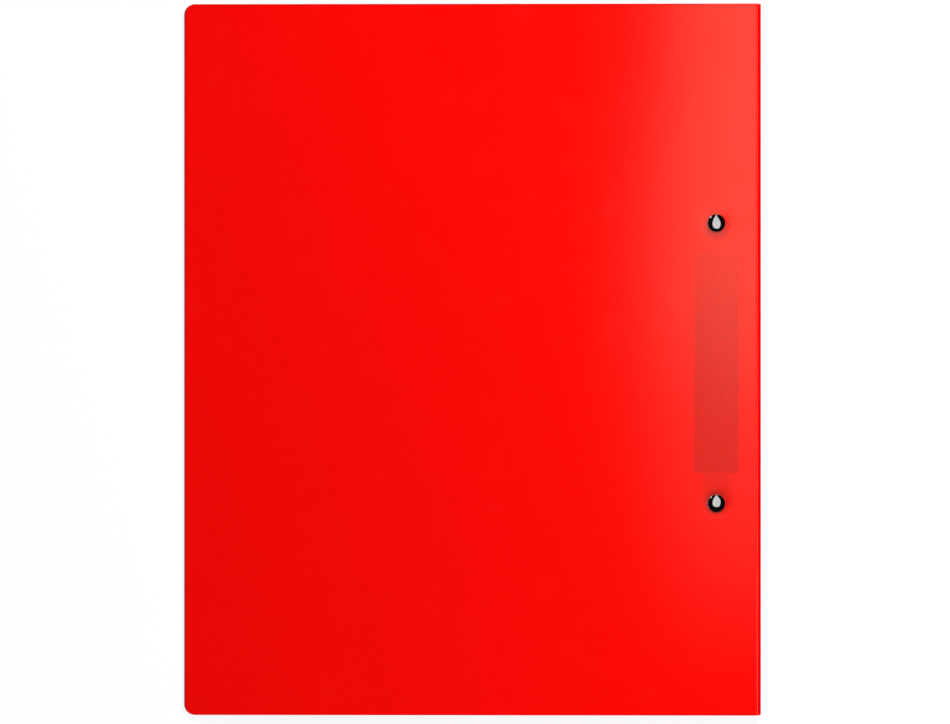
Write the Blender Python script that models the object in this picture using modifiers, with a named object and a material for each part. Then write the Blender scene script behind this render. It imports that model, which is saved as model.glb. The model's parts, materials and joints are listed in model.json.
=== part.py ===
"""A two-ring binder: a creased plastic sheet with a sprung ring mechanism riveted inside the back."""

import math

import bmesh
import bpy
from mathutils import Matrix, Vector

MM = 0.001

# Cover sheet
COVER_HEIGHT = 320.0 * MM
COVER_WIDTH = 259.3 * MM  # front crease to fore edge
BACK_SETBACK = 0.5 * MM  # how much narrower the back cover is
SHEET = 0.7 * MM
CORNER_RADIUS = 4.8 * MM
CREASE_REACH = 0.9 * MM  # from a crease's axis to where the flat panel begins
CREASE_WEB = 0.4 * MM  # thickness of the sheet pressed thin at a crease
SEAM = 0.1 * MM  # between a panel and the web beside it
FORE_EDGE_GAP = 0.3 * MM  # between the closed covers at their fore edges

# Ring mechanism, seen from inside the back cover
MECHANISM_INSET = 18.2 * MM  # rivet line to the back crease's axis
MECHANISM_DROP = 1.7 * MM  # below the middle of the cover
PLATE_WIDTH = 20.0 * MM
PLATE_STRAIGHT = 99.0 * MM
PLATE_GAUGE = 0.6 * MM
PLATE_CROWN = 5.2 * MM  # top of the arch above the sheet
PLATE_SQUARENESS = 2.6  # exponent of the arch's section
PLATE_REST = 0.15 * MM  # the arch's edges above the sheet
LIP_WIDTH = 2.0 * MM
NECK_LENGTH = 8.5 * MM
TONGUE_WIDTH = 11.0 * MM
TONGUE_LIFT = 2.0 * MM  # tongue's underside above the sheet
BLADE_GAUGE = 0.7 * MM
BLADE_LENGTH = 96.0 * MM
BLADE_FLOOR_GAP = 0.25 * MM  # inner edge of a closed blade above the sheet
BLADE_MEETING_GAP = 0.4 * MM  # between the two blades at dead centre
PIVOT_INSET = 1.5 * MM  # from the plate's side to the blade's pivot
PIVOT_HEIGHT = 1.45 * MM
KEY_PITCH = 26.0 * MM  # between the keys where the blades interlock
KEY_WIDTH = 6.0 * MM
KEY_REACH = 0.9 * MM
KEY_CLEARANCE = 0.4 * MM

# Rings
RING_PITCH = 80.0 * MM
RING_INNER = 20.0 * MM
WIRE = 2.5 * MM
RING_ROOM = 3.4 * MM  # free height over the closed rings, which rise as they open
FOOT_INSET = 1.9 * MM  # from the blade's pivot to the ring's foot
FOOT_BEND = 1.8 * MM  # bend radius above the foot, on the wire's centre line
FOOT_STRAIGHT = 0.1 * MM
PIN = 1.5 * MM  # diameter of the pin that goes through the blade
PIN_CLEARANCE = 0.1 * MM  # round the pin and above and below the blade
PIN_HEAD = 2.3 * MM
PIN_HEAD_HEIGHT = 0.4 * MM
TIP_GAP = 0.3 * MM
NOTCH_CLEARANCE = 0.5 * MM  # in the plate, on each side of a ring

# Rivets
RIVET_PITCH = 126.0 * MM
RIVET_HEAD = 8.2 * MM
RIVET_DOME = 2.0 * MM
RIVET_RIM = 0.25 * MM  # straight edge under the dome
RIVET_SHANK = 4.0 * MM
RIVET_BORE = 2.9 * MM
RIVET_FLARE = 5.4 * MM
RIVET_FLARE_HEIGHT = 0.5 * MM
RIVET_CLEARANCE = 0.1 * MM  # round the shank, under the head and under the flare
SEAT_WIDTH = 6.2 * MM  # flat bottom of the dished seat round each rivet
SEAT_SLOPE = 1.3 * MM  # how far the seat's wall leans out
SEAT_OVERLAP = 0.5 * MM  # of the seat's rim in the tongue

# Fineness of turned pieces and round holes
ROUND_STEPS = 30

# Colours
RED = (0.90, 0.004, 0.003, 1.0)
DARK_RED = (0.62, 0.003, 0.002, 1.0)
NICKEL = (0.72, 0.70, 0.66, 1.0)
BRIGHT = (0.80, 0.80, 0.80, 1.0)
STEEL = (0.55, 0.55, 0.54, 1.0)

for old in list(bpy.data.objects):
    bpy.data.objects.remove(old, do_unlink=True)

binder = bpy.data.collections.new("two_ring_binder")
cutters = bpy.data.collections.new("cutters")
bpy.context.scene.collection.children.link(binder)
bpy.context.scene.collection.children.link(cutters)


def material(name, colour, roughness, metallic):
    made = bpy.data.materials.new(name)
    made.use_nodes = True
    shader = made.node_tree.nodes["Principled BSDF"]
    shader.inputs["Base Color"].default_value = colour
    shader.inputs["Roughness"].default_value = roughness
    shader.inputs["Metallic"].default_value = metallic
    return made


def frame(name, location, turn=0.0, parent=None):
    """An empty turned about Y, to hang pieces on."""
    empty = bpy.data.objects.new(name, None)
    empty.location = location
    empty.rotation_euler = (0.0, turn, 0.0)
    empty.parent = parent
    binder.objects.link(empty)
    return empty


def piece(name, data, finish, parent=None, location=(0.0, 0.0, 0.0), rotation=(0.0, 0.0, 0.0)):
    made = bpy.data.objects.new(name, data)
    made.location = location
    made.rotation_euler = rotation
    made.parent = parent
    data.materials.append(finish)
    binder.objects.link(made)
    return made


def helper(name, mesh, parent, location=(0.0, 0.0, 0.0)):
    """A shape that only cuts or joins another."""
    made = bpy.data.objects.new(name, mesh)
    made.location = location
    made.parent = parent
    made.hide_render = True
    made.display_type = "WIRE"
    cutters.objects.link(made)
    return made


def arc(centre, radius, start, end, steps):
    angles = [start + (end - start) * i / steps for i in range(steps + 1)]
    return [(centre[0] + radius * math.cos(a), centre[1] + radius * math.sin(a)) for a in angles]


def ring_of(centre, radius, steps):
    return arc(centre, radius, 0.0, 2 * math.pi, steps)[:-1]


def flat_shape(name, loops, thickness):
    """An outline, with any holes in it, given a thickness."""
    shape = bpy.data.curves.new(name, "CURVE")
    shape.dimensions = "2D"
    shape.fill_mode = "BOTH"
    shape.extrude = thickness / 2
    for loop in loops:
        line = shape.splines.new("POLY")
        line.points.add(len(loop) - 1)
        for point, (x, y) in zip(line.points, loop):
            point.co = (x, y, 0.0, 1.0)
        line.use_cyclic_u = True
    return shape


def prism(name, loop, low, high):
    mesh = bpy.data.meshes.new(name)
    bm = bmesh.new()
    base = bm.faces.new([bm.verts.new((x, y, low)) for x, y in loop])
    grown = bmesh.ops.extrude_face_region(bm, geom=[base])
    top = [v for v in grown["geom"] if isinstance(v, bmesh.types.BMVert)]
    bmesh.ops.translate(bm, verts=top, vec=(0.0, 0.0, high - low))
    bmesh.ops.recalc_face_normals(bm, faces=bm.faces[:])
    bm.to_mesh(mesh)
    bm.free()
    return mesh


def block(name, low, high):
    loop = [(low[0], low[1]), (high[0], low[1]), (high[0], high[1]), (low[0], high[1])]
    return prism(name, loop, low[2], high[2])


def turned(name, profile, closed):
    """A profile of (radius, height) points, to be spun by turn()."""
    mesh = bpy.data.meshes.new(name)
    bm = bmesh.new()
    points = [bm.verts.new((r, 0.0, z)) for r, z in profile]
    ends = points[1:] + points[:1] if closed else points[1:]
    for a, b in zip(points, ends):
        bm.edges.new((a, b))
    bm.to_mesh(mesh)
    bm.free()
    return mesh


def turn(made, steps):
    spin = made.modifiers.new("turn", "SCREW")
    spin.angle = 2 * math.pi
    spin.steps = steps
    spin.render_steps = steps
    spin.use_merge_vertices = True
    spin.merge_threshold = 0.000005
    spin.use_smooth_shade = True


def join(made, kind, other):
    step = made.modifiers.new(other.name, "BOOLEAN")
    step.operation = kind
    step.object = other
    step.solver = "EXACT"


# Blades in their closed place, in the mechanism's own frame: x across, z up from the sheet
half_plate = PLATE_WIDTH / 2
pivot_x = half_plate - PIVOT_INSET
blade_reach = pivot_x - BLADE_MEETING_GAP / 2
closed_tilt = math.asin((PIVOT_HEIGHT - BLADE_GAUGE / 2 - BLADE_FLOOR_GAP) / blade_reach)
along = Vector((-math.cos(closed_tilt), -math.sin(closed_tilt)))
above = Vector((-math.sin(closed_tilt), math.cos(closed_tilt)))

# A ring half bends out of its foot into a circle about the mechanism's middle
wire_radius = RING_INNER / 2 + WIRE / 2
foot = Vector((pivot_x, PIVOT_HEIGHT)) + along * FOOT_INSET
shoulder = foot + above * (BLADE_GAUGE / 2 + PIN_CLEARANCE)
bend_start = shoulder + above * FOOT_STRAIGHT
bend_centre = bend_start - along * FOOT_BEND
ring_height = bend_centre.y + math.sqrt((wire_radius + FOOT_BEND) ** 2 - bend_centre.x**2)
ring_centre = Vector((0.0, ring_height))
leave_angle = math.atan2(bend_centre.y - ring_height, bend_centre.x)
ring_top = ring_height + RING_INNER / 2 + WIRE

# The spine is as wide as the rings need, and the covers close on it as a wedge
inset_share = MECHANISM_INSET / COVER_WIDTH
room = ring_top + RING_ROOM + SHEET - inset_share * (SHEET + FORE_EDGE_GAP)
spine_width = room / (1 - inset_share)
wedge = 2 * math.asin((spine_width - SHEET - FORE_EDGE_GAP) / (2 * COVER_WIDTH))
lean = wedge / 2
panel_start = CREASE_REACH + SEAM
spine_reach = SHEET / 2 * math.cos(lean) - panel_start * math.sin(lean)
front_crease_x = (COVER_WIDTH - spine_reach) / 2
front_crease_z = SHEET / 2
back_crease_x = front_crease_x - spine_width * math.sin(lean)
back_crease_z = front_crease_z + spine_width * math.cos(lean)

red_sheet = material("red_sheet", RED, 0.42, 0.0)
red_crease = material("red_crease", DARK_RED, 0.38, 0.0)
nickel_plate = material("nickel_plate", NICKEL, 0.28, 1.0)
blade_steel = material("blade_steel", STEEL, 0.4, 1.0)
ring_wire = material("ring_wire", BRIGHT, 0.14, 1.0)
rivet_metal = material("rivet_metal", BRIGHT, 0.08, 1.0)

# Frames: x runs from a crease along its panel, z into the binder for the back and the spine
front_frame = frame("front_crease", (front_crease_x, 0.0, front_crease_z), math.pi)
spine_frame = frame("spine_foot", (front_crease_x, 0.0, front_crease_z), -(math.pi / 2 + lean))
back_frame = frame("back_crease", (back_crease_x, 0.0, back_crease_z), math.pi - wedge)
mechanism = frame("mechanism", (MECHANISM_INSET, -MECHANISM_DROP, SHEET / 2), 0.0, back_frame)


# Panels
def panel_outline(start, end, radius):
    side = COVER_HEIGHT / 2
    if radius <= 0.0:
        return [(start, -side), (end, -side), (end, side), (start, side)]
    low = arc((end - radius, radius - side), radius, -math.pi / 2, 0.0, 8)
    high = arc((end - radius, side - radius), radius, 0.0, math.pi / 2, 8)
    return [(start, -side)] + low + high + [(start, side)]


hole_radius = RIVET_SHANK / 2 + RIVET_CLEARANCE
rivet_places = [
    ("top", RIVET_PITCH / 2),
    ("bottom", -RIVET_PITCH / 2),
]
rivet_holes = [
    ring_of((MECHANISM_INSET, y - MECHANISM_DROP), hole_radius, ROUND_STEPS) for place, y in rivet_places
]

front_outline = panel_outline(panel_start, COVER_WIDTH, CORNER_RADIUS)
back_outline = panel_outline(panel_start, COVER_WIDTH - BACK_SETBACK, CORNER_RADIUS)
spine_outline = panel_outline(panel_start, spine_width - panel_start, 0.0)
piece("front_cover", flat_shape("front_cover", [front_outline], SHEET), red_sheet, front_frame)
piece("back_cover", flat_shape("back_cover", [back_outline] + rivet_holes, SHEET), red_sheet, back_frame)
piece("spine_panel", flat_shape("spine_panel", [spine_outline], SHEET), red_sheet, spine_frame)

# Creases: the same sheet, pressed thin and bent round between two panels
crease_angle = math.pi / 2 - lean
half_turn = (math.pi - crease_angle) / 2
web_radius = CREASE_REACH * math.tan(crease_angle / 2)
web_centre = (CREASE_REACH / math.cos(crease_angle / 2), 0.0)
outer_line = arc(web_centre, web_radius + CREASE_WEB / 2, math.pi - half_turn, math.pi + half_turn, 10)
inner_line = arc(web_centre, web_radius - CREASE_WEB / 2, math.pi + half_turn, math.pi - half_turn, 10)
for name, crease, facing in (
    ("front_crease_web", (front_crease_x, 0.0, front_crease_z), 0.75 * math.pi + lean / 2),
    ("back_crease_web", (back_crease_x, 0.0, back_crease_z), 1.25 * math.pi + 1.5 * lean),
):
    web = flat_shape(name, [outer_line + inner_line], COVER_HEIGHT)
    piece(name, web, red_crease, None, crease, (math.pi / 2, -facing, 0.0))

# Cover plate of the mechanism: an arched strip whose ends flatten to tongues
section_steps = 25
middle_width = half_plate - PLATE_GAUGE / 2
middle_crown = PLATE_CROWN - PLATE_GAUGE / 2
tongue_middle = TONGUE_LIFT + PLATE_GAUGE / 2
tongue_half = TONGUE_WIDTH / 2
plate_end = RIVET_PITCH / 2 + tongue_half
side_rows = [PLATE_STRAIGHT / 2 * i / 3 for i in range(4)]
side_rows += [PLATE_STRAIGHT / 2 + NECK_LENGTH * i / 6 for i in range(1, 7)]
side_rows += [plate_end + PLATE_GAUGE]
rows = [-y for y in reversed(side_rows[1:])] + side_rows


def plate_point(column, row):
    angle = math.pi * column / section_steps
    across = math.copysign(abs(math.cos(angle)) ** (2 / PLATE_SQUARENESS), math.cos(angle))
    up = abs(math.sin(angle)) ** (2 / PLATE_SQUARENESS)
    arched = PLATE_REST + (middle_crown - PLATE_REST) * up
    y = rows[row]
    share = min(max((abs(y) - PLATE_STRAIGHT / 2) / NECK_LENGTH, 0.0), 1.0)
    share = share * share * (3 - 2 * share)
    return (across * middle_width, y, arched + (tongue_middle - arched) * share)


plate_mesh = bpy.data.meshes.new("cover_plate")
bm = bmesh.new()
bmesh.ops.create_grid(bm, x_segments=section_steps, y_segments=len(rows) - 1, size=1.0)
for vert in bm.verts:
    column = round((1.0 - vert.co.x) / 2 * section_steps)
    row = round((vert.co.y + 1.0) / 2 * (len(rows) - 1))
    vert.co = plate_point(column, row)
bmesh.ops.recalc_face_normals(bm, faces=bm.faces[:])
for face in bm.faces:
    face.smooth = True
bm.to_mesh(plate_mesh)
bm.free()
plate = piece("cover_plate", plate_mesh, nickel_plate, mechanism)
walls = plate.modifiers.new("gauge", "SOLIDIFY")
walls.thickness = PLATE_GAUGE
walls.offset = 0.0
walls.use_even_offset = True

neck_y = PLATE_STRAIGHT / 2
wide = half_plate + PLATE_GAUGE
half_plan = [(wide, neck_y), (wide - PLATE_GAUGE, neck_y + PLATE_GAUGE)]
half_plan += arc((0.0, RIVET_PITCH / 2), tongue_half, 0.0, math.pi, 21)
half_plan += [(PLATE_GAUGE - wide, neck_y + PLATE_GAUGE), (-wide, neck_y)]
plan = half_plan + [(-x, -y) for x, y in half_plan]
plan_block = helper("plate_plan", prism("plate_plan", plan, -PLATE_GAUGE, 2 * PLATE_CROWN), mechanism)
join(plate, "INTERSECT", plan_block)

seat_low = RIVET_CLEARANCE
seat_rim = SEAT_WIDTH / 2 + SEAT_SLOPE
rim_low = TONGUE_LIFT + PLATE_GAUGE * 0.2
rim_high = TONGUE_LIFT + PLATE_GAUGE * 0.8
seat_profile = [
    (hole_radius, seat_low + PLATE_GAUGE),
    (SEAT_WIDTH / 2 - PLATE_GAUGE * 0.4, seat_low + PLATE_GAUGE),
    (seat_rim - PLATE_GAUGE * 0.6, rim_high),
    (seat_rim + SEAT_OVERLAP, rim_high),
    (seat_rim + SEAT_OVERLAP, rim_low),
    (seat_rim, rim_low),
    (SEAT_WIDTH / 2, seat_low),
    (hole_radius, seat_low),
]
hole_edge = seat_rim + SEAT_OVERLAP / 2
tongue_hole = [(0.0, 2 * PLATE_CROWN), (hole_edge, 2 * PLATE_CROWN), (hole_edge, 0.0), (0.0, 0.0)]
for place, y in rivet_places:
    drill = turned("seat_opening", tongue_hole, False)
    opening = helper(f"seat_opening_{place}", drill, mechanism, (0.0, y, 0.0))
    opening.rotation_euler.z = math.pi / ROUND_STEPS
    turn(opening, ROUND_STEPS)
    join(plate, "DIFFERENCE", opening)
for place, y in rivet_places:
    seat = helper(f"seat_{place}", turned("seat", seat_profile, True), mechanism, (0.0, y, 0.0))
    turn(seat, ROUND_STEPS)
    join(plate, "UNION", seat)

lip_low = PLATE_REST - PLATE_GAUGE * 0.05
lip_edge = half_plate - PLATE_GAUGE * 0.25
lip_y = PLATE_STRAIGHT / 2 - PLATE_GAUGE
for side_name, side in (("fore", 1), ("spine", -1)):
    ends = sorted((side * lip_edge, side * (half_plate - LIP_WIDTH)))
    low = (ends[0], -lip_y, lip_low)
    high = (ends[1], lip_y, lip_low + PLATE_GAUGE)
    join(plate, "UNION", helper(f"lip_{side_name}", block("lip", low, high), mechanism))
notch_half = WIRE / 2 + NOTCH_CLEARANCE
notch_inner = bend_start.x - WIRE / 2 - NOTCH_CLEARANCE
for place, y in (("top", RING_PITCH / 2), ("bottom", -RING_PITCH / 2)):
    for side_name, side in (("fore", 1), ("spine", -1)):
        ends = sorted((side * notch_inner, side * (half_plate + PLATE_GAUGE)))
        low = (ends[0], y - notch_half, -PLATE_GAUGE)
        high = (ends[1], y + notch_half, 2 * PLATE_CROWN)
        notch = helper(f"notch_{place}_{side_name}", block("notch", low, high), mechanism)
        join(plate, "DIFFERENCE", notch)

# Blades and ring halves, each hung on its blade's pivot
blade_end = BLADE_LENGTH / 2
pin_hole = PIN / 2 + PIN_CLEARANCE
keys = [-1.5 * KEY_PITCH, -0.5 * KEY_PITCH, 0.5 * KEY_PITCH, 1.5 * KEY_PITCH]


def blade_outline(side):
    """Straight at the pivot; the inner edge has keys and slots in turn, answered by the other blade."""
    line = []
    for index, y in enumerate(keys):
        is_key = (index % 2 == 0) == (side > 0)
        half = KEY_WIDTH / 2 if is_key else KEY_WIDTH / 2 + KEY_CLEARANCE
        reach = blade_reach + (KEY_REACH if is_key else -KEY_REACH - KEY_CLEARANCE)
        line += [(blade_reach, y - half), (reach, y - half), (reach, y + half), (blade_reach, y + half)]
    inner = [(blade_reach, -blade_end)] + line + [(blade_reach, blade_end)]
    edge = [(-BLADE_GAUGE / 2, blade_end), (-BLADE_GAUGE / 2, -blade_end)]
    holes = [ring_of((FOOT_INSET, y), pin_hole, 16) for y in (RING_PITCH / 2, -RING_PITCH / 2)]
    return [[(-side * x, y) for x, y in loop] for loop in [inner + edge] + holes]


def ring_points():
    """Centre line of a ring half, tip to foot, as (point, radius) in the mechanism's frame."""
    tip = math.pi / 2 - math.asin(TIP_GAP / 2 / wire_radius)
    line = [(Vector(p), WIRE / 2) for p in arc(ring_centre, wire_radius, tip, leave_angle, 26)]
    bend = arc(bend_centre, FOOT_BEND, leave_angle + math.pi, math.pi + closed_tilt, 8)
    line += [(Vector(p), WIRE / 2) for p in bend[1:]]
    step = PIN_CLEARANCE / 4
    head = foot - above * (BLADE_GAUGE / 2 + PIN_CLEARANCE)
    line += [
        (shoulder, WIRE / 2),
        (shoulder - above * step, PIN / 2),
        (head, PIN / 2),
        (head - above * step, PIN_HEAD / 2),
        (head - above * PIN_HEAD_HEIGHT, PIN_HEAD / 2),
    ]
    return line


def ring_half(name, side):
    wire = bpy.data.curves.new(name, "CURVE")
    wire.dimensions = "3D"
    wire.bevel_depth = 1.0
    wire.bevel_resolution = 3
    wire.use_fill_caps = True
    back = Matrix.Rotation(closed_tilt, 2)
    line = wire.splines.new("POLY")
    points = ring_points()
    line.points.add(len(points) - 1)
    for point, (place, radius) in zip(line.points, points):
        local = back.inverted() @ (place - Vector((pivot_x, PIVOT_HEIGHT)))
        point.co = (side * local.x, 0.0, local.y, 1.0)
        point.radius = radius
    return wire


for side_name, side in (("fore", 1), ("spine", -1)):
    pivot = frame(f"{side_name}_pivot", (side * pivot_x, 0.0, PIVOT_HEIGHT), -side * closed_tilt, mechanism)
    blade = flat_shape(f"blade_{side_name}", blade_outline(side), BLADE_GAUGE)
    piece(f"blade_{side_name}", blade, blade_steel, pivot)
    for place, y in (("top", RING_PITCH / 2), ("bottom", -RING_PITCH / 2)):
        name = f"ring_{place}_{side_name}"
        piece(name, ring_half(name, side), ring_wire, pivot, (0.0, y, 0.0))

# Rivets: domed outside the cover, hollow, and flared over the plate's seats inside
head_face = -SHEET - RIVET_CLEARANCE
flare_face = seat_low + PLATE_GAUGE + RIVET_CLEARANCE
dome = arc((0.0, 0.0), 1.0, 0.0, -math.pi / 2, 10)
rivet_profile = [
    (0.0, -SHEET),
    (RIVET_BORE / 2, -SHEET),
    (RIVET_BORE / 2, flare_face + RIVET_FLARE_HEIGHT / 2),
    (RIVET_FLARE / 2 - RIVET_FLARE_HEIGHT, flare_face + RIVET_FLARE_HEIGHT),
    (RIVET_FLARE / 2 - RIVET_FLARE_HEIGHT / 3, flare_face + RIVET_FLARE_HEIGHT),
    (RIVET_FLARE / 2, flare_face + RIVET_FLARE_HEIGHT / 2),
    (RIVET_FLARE / 2, flare_face),
    (RIVET_SHANK / 2, flare_face),
    (RIVET_SHANK / 2, head_face),
    (RIVET_HEAD / 2, head_face),
]
rivet_profile += [
    (x * RIVET_HEAD / 2, head_face - RIVET_RIM + y * (RIVET_DOME - RIVET_RIM)) for x, y in dome[:-1]
]
rivet_profile += [(0.0, head_face - RIVET_DOME)]
for place, y in rivet_places:
    body = turned("rivet", rivet_profile, False)
    rivet = piece(f"rivet_{place}", body, rivet_metal, mechanism, (0.0, y, 0.0))
    turn(rivet, ROUND_STEPS)
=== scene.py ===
import json
import math

import bmesh
import bpy
from mathutils import Matrix, Vector

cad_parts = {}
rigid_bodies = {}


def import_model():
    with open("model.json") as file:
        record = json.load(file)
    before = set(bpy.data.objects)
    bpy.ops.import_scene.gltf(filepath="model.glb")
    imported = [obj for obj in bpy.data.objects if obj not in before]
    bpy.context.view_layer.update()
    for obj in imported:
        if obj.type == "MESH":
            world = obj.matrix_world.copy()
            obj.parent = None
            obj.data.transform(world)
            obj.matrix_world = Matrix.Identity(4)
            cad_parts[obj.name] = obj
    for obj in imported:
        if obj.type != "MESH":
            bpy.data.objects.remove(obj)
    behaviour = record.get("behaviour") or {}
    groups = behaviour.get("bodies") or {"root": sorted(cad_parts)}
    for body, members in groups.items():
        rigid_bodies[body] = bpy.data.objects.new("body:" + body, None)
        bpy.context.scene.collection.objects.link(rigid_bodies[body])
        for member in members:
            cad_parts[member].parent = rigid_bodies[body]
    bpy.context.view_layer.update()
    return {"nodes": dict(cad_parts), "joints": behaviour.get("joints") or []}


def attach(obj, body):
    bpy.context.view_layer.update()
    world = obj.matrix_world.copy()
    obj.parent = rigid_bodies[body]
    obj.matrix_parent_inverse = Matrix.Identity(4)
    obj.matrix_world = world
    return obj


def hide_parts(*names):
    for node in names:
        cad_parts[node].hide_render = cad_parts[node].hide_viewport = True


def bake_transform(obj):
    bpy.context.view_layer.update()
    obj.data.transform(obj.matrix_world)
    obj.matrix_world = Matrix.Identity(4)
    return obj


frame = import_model()

# Front cover: the part of the red polypropylene sheet that the binder lies on.
# Front, spine and back are one die-cut sheet, so the free edges are sheared
# square and barely eased, and only the two corners at the fore edge are round.
mm = 0.001
hair = 0.001 * mm  # closer than this, two points are one
upward = Vector((0.0, 1.0, 0.0))  # along the creases, to the binder's top edge
sheet_gauge = 0.7 * mm
half_height = 160.0 * mm
front_width = 259.3 * mm
corner_radius = 4.8 * mm
corner_steps = 14
edge_ease = 0.20 * mm
ease_steps = 3
square_edge = 1.0  # an edge that turns by more than this, in radians, is a sheared one
flat_facing = 0.97  # a face less square on than this is part of an edge
hole_margin = 4.0 * mm  # round the middle of a hole, where edges stay square
crease_reach = 0.45 * mm  # from a crease's axis to the panels beside it
joint_at = {joint["name"]: Vector(joint["pos_m"]) for joint in frame["joints"]}
front_axis = joint_at["front_crease"]
back_axis = joint_at["back_crease"]
up_spine = (back_axis - front_axis).normalized()
spine_lean = math.atan2(-up_spine.x, up_spine.z)
along_front = Vector((-1.0, 0.0, 0.0))
along_back = Vector((-math.cos(2 * spine_lean), 0.0, -math.sin(2 * spine_lean)))
half_fold = along_front.angle(up_spine) / 2
mitre = sheet_gauge / math.tan(half_fold)  # how much shorter the inner face is at a crease
outer_face, sheared_edge, inner_face = range(3)  # places in a panel's list of finishes


def panel_place(origin, along):
    """The frame of a panel: x from its crease, y up the binder, z across the sheet."""
    turned = Matrix((along, upward, along.cross(upward))).transposed().to_4x4()
    return Matrix.Translation(origin) @ turned


def die_cut(near, far, corner, inner_side, columns=(), rows=()):
    """A flat blank in the outer face, its far corners rounded, cut in columns and rows."""
    blank = bmesh.new()
    outline = [(near, -half_height), (far, -half_height), (far, half_height), (near, half_height)]
    blank.faces.new([blank.verts.new((x, y, -sheet_gauge / 2 * inner_side)) for x, y in outline])
    if corner:
        outer = [v for v in blank.verts if v.co.x > (near + far) / 2]
        bmesh.ops.bevel(
            blank, geom=outer, offset=corner, offset_type="OFFSET", affect="VERTICES",
            segments=corner_steps, profile=0.5, material=-1,
        )
    cuts = [(x, Vector((1.0, 0.0, 0.0))) for x in columns] + [(y, upward) for y in rows]
    for reach, facing in cuts:
        everything = blank.verts[:] + blank.edges[:] + blank.faces[:]
        bmesh.ops.bisect_plane(
            blank, geom=everything, dist=hair, plane_co=facing * reach, plane_no=facing,
        )
    return blank


def thicken(blank, inner_side, creases, holes=()):
    """Gives a blank its gauge, mitres it at its creases and eases its free edges, not its holes."""
    grown = bmesh.ops.extrude_face_region(blank, geom=blank.faces[:])
    inner = [v for v in grown["geom"] if isinstance(v, bmesh.types.BMVert)]
    bmesh.ops.translate(blank, verts=inner, vec=(0.0, 0.0, sheet_gauge * inner_side))
    bmesh.ops.recalc_face_normals(blank, faces=blank.faces[:])
    rim = []
    for edge in blank.edges:
        middle = (edge.verts[0].co + edge.verts[1].co) / 2
        at_crease = any(all(abs(v.co.x - x) < hair for v in edge.verts) for x, away in creases)
        in_hole = any((middle.xy - Vector(spot)).length < hole_margin for spot in holes)
        if edge.calc_face_angle(0.0) > square_edge and not at_crease and not in_hole:
            rim.append(edge)
    for vert in inner:
        for x, away in creases:
            if abs(vert.co.x - x) < hair:
                vert.co.x += away * mitre
    bmesh.ops.bevel(
        blank, geom=rim, offset=edge_ease, offset_type="OFFSET", affect="EDGES",
        segments=ease_steps, profile=0.5, material=-1,
    )
    for face in blank.faces:
        facing = face.normal.z * inner_side
        if facing > flat_facing:
            face.material_index = inner_face
        elif facing < -flat_facing:
            face.material_index = outer_face
        else:
            face.material_index = sheared_edge


def finish_piece(name, shape, place, finishes, crisp=0.6):
    """Puts a shape in its place with its finishes; edges that turn by more than crisp stay hard."""
    bmesh.ops.transform(shape, matrix=place, verts=shape.verts[:])
    bmesh.ops.recalc_face_normals(shape, faces=shape.faces[:])
    for face in shape.faces:
        face.smooth = True
    for edge in shape.edges:
        same = len({face.material_index for face in edge.link_faces}) == 1
        edge.smooth = same and edge.calc_face_angle(math.pi) < crisp
    mesh = bpy.data.meshes.new(name)
    shape.to_mesh(mesh)
    shape.free()
    for finish in finishes:
        mesh.materials.append(finish)
    made = bpy.data.objects.new(name, mesh)
    bpy.context.scene.collection.objects.link(made)
    return made


def fill(node, inputs):
    """Links or sets a node's inputs."""
    for socket, value in inputs.items():
        if isinstance(value, bpy.types.NodeSocket):
            node.id_data.links.new(value, node.inputs[socket])
        else:
            node.inputs[socket].default_value = value


def add_node(tree, kind, inputs=None, **settings):
    """A node with its settings, and its inputs linked or set."""
    made = tree.nodes.new(kind)
    for key, value in settings.items():
        setattr(made, key, value)
    fill(made, inputs or {})
    return made


def math_node(tree, operation, a, b=0.0, c=0.0, clamp=False):
    """One step of arithmetic on values."""
    made = add_node(tree, "ShaderNodeMath", {0: a, 1: b, 2: c}, operation=operation, use_clamp=clamp)
    return made.outputs[0]


def weighed(tree, first, first_share, second, second_share):
    """Two values added by their shares."""
    rest = math_node(tree, "MULTIPLY", second, second_share)
    return math_node(tree, "MULTIPLY_ADD", first, first_share, rest)


def noise(tree, where, scale, detail=2.0, roughness=0.5):
    """An uneven value about a half, with scale features to the metre."""
    made = add_node(
        tree, "ShaderNodeTexNoise",
        {"Vector": where, "Scale": scale, "Detail": detail, "Roughness": roughness},
    )
    return made.outputs[0]


def spread(tree, value, low, high, to_low=0.0, to_high=1.0):
    """A value carried smoothly from one range to another, and held at its ends."""
    made = add_node(
        tree, "ShaderNodeMapRange",
        {0: value, 1: low, 2: high, 3: to_low, 4: to_high}, interpolation_type="SMOOTHSTEP",
    )
    return made.outputs[0]


def blend_colour(tree, share, first, second):
    """A colour between two."""
    made = add_node(tree, "ShaderNodeMix", {0: share, 6: first, 7: second}, data_type="RGBA")
    return made.outputs[2]


def new_group(name, inputs, outputs):
    """An empty node group with its outputs named, and what comes in at its named inputs."""
    tree = bpy.data.node_groups.new(name, "ShaderNodeTree")
    for socket, value in inputs.items():
        kind = "NodeSocketVector" if isinstance(value, tuple) else "NodeSocketFloat"
        made = tree.interface.new_socket(name=socket, in_out="INPUT", socket_type=kind)
        made.default_value = value
    for socket in outputs:
        tree.interface.new_socket(name=socket, in_out="OUTPUT", socket_type="NodeSocketFloat")
    return tree, tree.nodes.new("NodeGroupInput").outputs


def new_finish(name, metallic=0.0):
    """A material with its node tree and its shader."""
    made = bpy.data.materials.new(name)
    made.use_nodes = True
    shader = made.node_tree.nodes["Principled BSDF"]
    shader.inputs["Metallic"].default_value = metallic
    return made, made.node_tree, shader


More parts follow.
